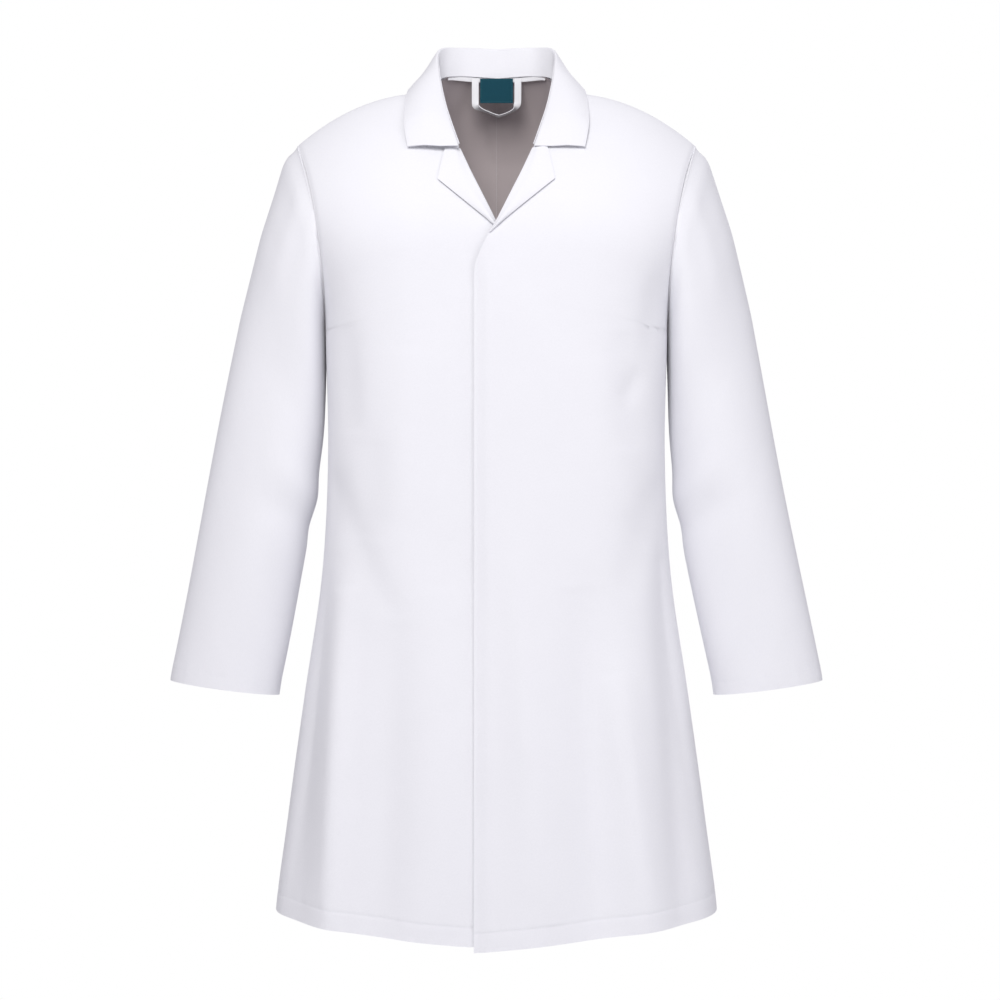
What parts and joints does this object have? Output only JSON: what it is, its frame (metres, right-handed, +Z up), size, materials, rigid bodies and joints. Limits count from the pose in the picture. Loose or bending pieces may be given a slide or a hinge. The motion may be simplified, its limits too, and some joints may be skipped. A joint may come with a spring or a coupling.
{
  "type": "lab coat",
  "caption": "Knee-length white lab coat with a notched collar, concealed stud front and long open sleeves, shaped as worn.",
  "frame": {"origin": "midway between the two points where the shoulder seams meet the neck", "axes": "+Z up towards the head, -Y out of the front, +X towards the wearer's left"},
  "size_m": [0.796, 0.29, 1.084],
  "materials": {
    "coat_cloth": "white poly-cotton twill, matt",
    "tape": "white woven tape",
    "label_cloth": "plain dark teal woven label",
    "stud_metal": "satin nickel plate"
  },
  "bodies": {
    "coat_body": {"back_left_panel": "coat_cloth", "back_right_panel": "coat_cloth", "left_front_body": "coat_cloth", "right_front_body": "coat_cloth", "collar_stand": "coat_cloth", "collar_leaf_back": "coat_cloth", "left_facing_top": "coat_cloth", "right_facing_top": "coat_cloth", "fly_band_top": "coat_cloth", "top_stud_cap": "stud_metal", "top_stud_socket": "stud_metal", "upper_stud_posts": "stud_metal", "upper_stud_backs": "stud_metal", "neck_tape": "tape", "inner_pocket": "coat_cloth"},
    "left_sleeve_body": {"left_sleeve": "coat_cloth"},
    "right_sleeve_body": {"right_sleeve": "coat_cloth"},
    "left_front_opening": {"left_front_flap": "coat_cloth", "left_facing_flap": "coat_cloth", "fly_band": "coat_cloth", "stud_caps": "stud_metal", "stud_sockets": "stud_metal"},
    "right_front_opening": {"right_front_flap": "coat_cloth", "right_facing_flap": "coat_cloth", "stud_posts": "stud_metal", "stud_backs": "stud_metal"},
    "left_revers": {"left_lapel": "coat_cloth", "collar_leaf_left": "coat_cloth"},
    "right_revers": {"right_lapel": "coat_cloth", "collar_leaf_right": "coat_cloth"},
    "loop_body": {"hang_loop": "tape"},
    "label_body": {"size_label": "label_cloth"}
  },
  "joints": [
    {"name": "sleeve_left_raise", "type": "hinge", "parent": "coat_body", "child": "left_sleeve_body", "pos_m": [0.244, 0, -0.064], "axis": [0, -1, 0], "range_deg": [0, 50]},
    {"name": "sleeve_right_raise", "type": "hinge", "parent": "coat_body", "child": "right_sleeve_body", "pos_m": [-0.244, 0, -0.064], "axis": [0, 1, 0], "range_deg": [0, 50]},
    {"name": "front_left_open", "type": "hinge", "parent": "coat_body", "child": "left_front_opening", "pos_m": [-0.03, -0.1232, -0.232], "axis": [-0.3207, 0.0065, 0.9472], "range_deg": [0, 70]},
    {"name": "front_right_open", "type": "hinge", "parent": "coat_body", "child": "right_front_opening", "pos_m": [0.03, -0.126, -0.414], "axis": [-0.4055, -0.0172, -0.9139], "range_deg": [0, 42]},
    {"name": "lapel_left_turn", "type": "hinge", "parent": "coat_body", "child": "left_revers", "pos_m": [0.002, -0.122, -0.175], "axis": [-0.3763, -0.3763, -0.8466], "range_deg": [0, 60]},
    {"name": "lapel_right_turn", "type": "hinge", "parent": "coat_body", "child": "right_revers", "pos_m": [-0.002, -0.122, -0.175], "axis": [-0.3763, 0.3763, 0.8466], "range_deg": [0, 60]},
    {"name": "loop_flip", "type": "hinge", "parent": "coat_body", "child": "loop_body", "pos_m": [0, 0.0506, 0.026], "axis": [-1, 0, 0], "range_deg": [0, 150]},
    {"name": "label_flip", "type": "hinge", "parent": "coat_body", "child": "label_body", "pos_m": [0, 0.0506, 0.026], "axis": [-1, 0, 0], "range_deg": [0, 100]}
  ],
  "couplings": [
    {"joint": "front_right_open", "follows": "front_left_open", "ratio": 0.6}
  ]
}
